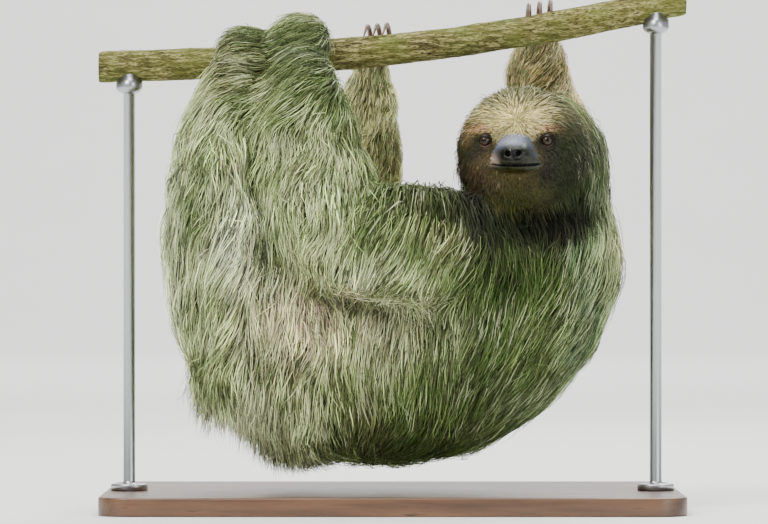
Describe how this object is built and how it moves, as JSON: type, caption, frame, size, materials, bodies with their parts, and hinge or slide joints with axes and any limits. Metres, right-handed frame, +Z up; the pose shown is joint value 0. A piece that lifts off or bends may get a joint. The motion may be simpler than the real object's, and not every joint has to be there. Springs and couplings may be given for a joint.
{
  "type": "three-toed sloth",
  "caption": "Life-size three-toed sloth hanging belly up by its hooked claws from a short cut branch, on a flat base with upright rods.",
  "frame": {"origin": "middle of the underside of the display base", "axes": "+X along the branch from the rump to the head, +Y away from the face, +Z up"},
  "size_m": [0.446, 0.3, 0.397],
  "materials": {
    "coat": "long coarse fur, grey-green with pale strands",
    "bare_skin": "dark bare skin, satin",
    "eye": "wet, brown iris and black pupil",
    "claw": "worn horn, half gloss",
    "bark": "rough weathered bark",
    "stand_wood": "dark wood, satin lacquer",
    "stand_steel": "fine brushed"
  },
  "bodies": {
    "root": {"branch": "bark", "left_hand_claw_1": "claw", "left_hand_claw_2": "claw", "left_hand_claw_3": "claw", "left_foot_claw_1": "claw", "left_foot_claw_2": "claw", "left_foot_claw_3": "claw", "right_hand_claw_1": "claw", "right_hand_claw_2": "claw", "right_hand_claw_3": "claw", "right_foot_claw_1": "claw", "right_foot_claw_2": "claw", "right_foot_claw_3": "claw", "eye_left": "eye", "eye_right": "eye", "muzzle": "bare_skin", "head": "coat", "trunk": "coat", "neck": "coat", "tail": "coat", "left_upper_arm": "coat", "left_thigh": "coat", "right_upper_arm": "coat", "right_thigh": "coat", "left_forearm": "coat", "left_shin": "coat", "right_forearm": "coat", "right_shin": "coat", "left_hand": "coat", "left_foot": "coat", "right_hand": "coat", "right_foot": "coat", "stand_rod_left": "stand_steel", "stand_rod_right": "stand_steel", "stand_base": "stand_wood"}
  },
  "joints": []
}
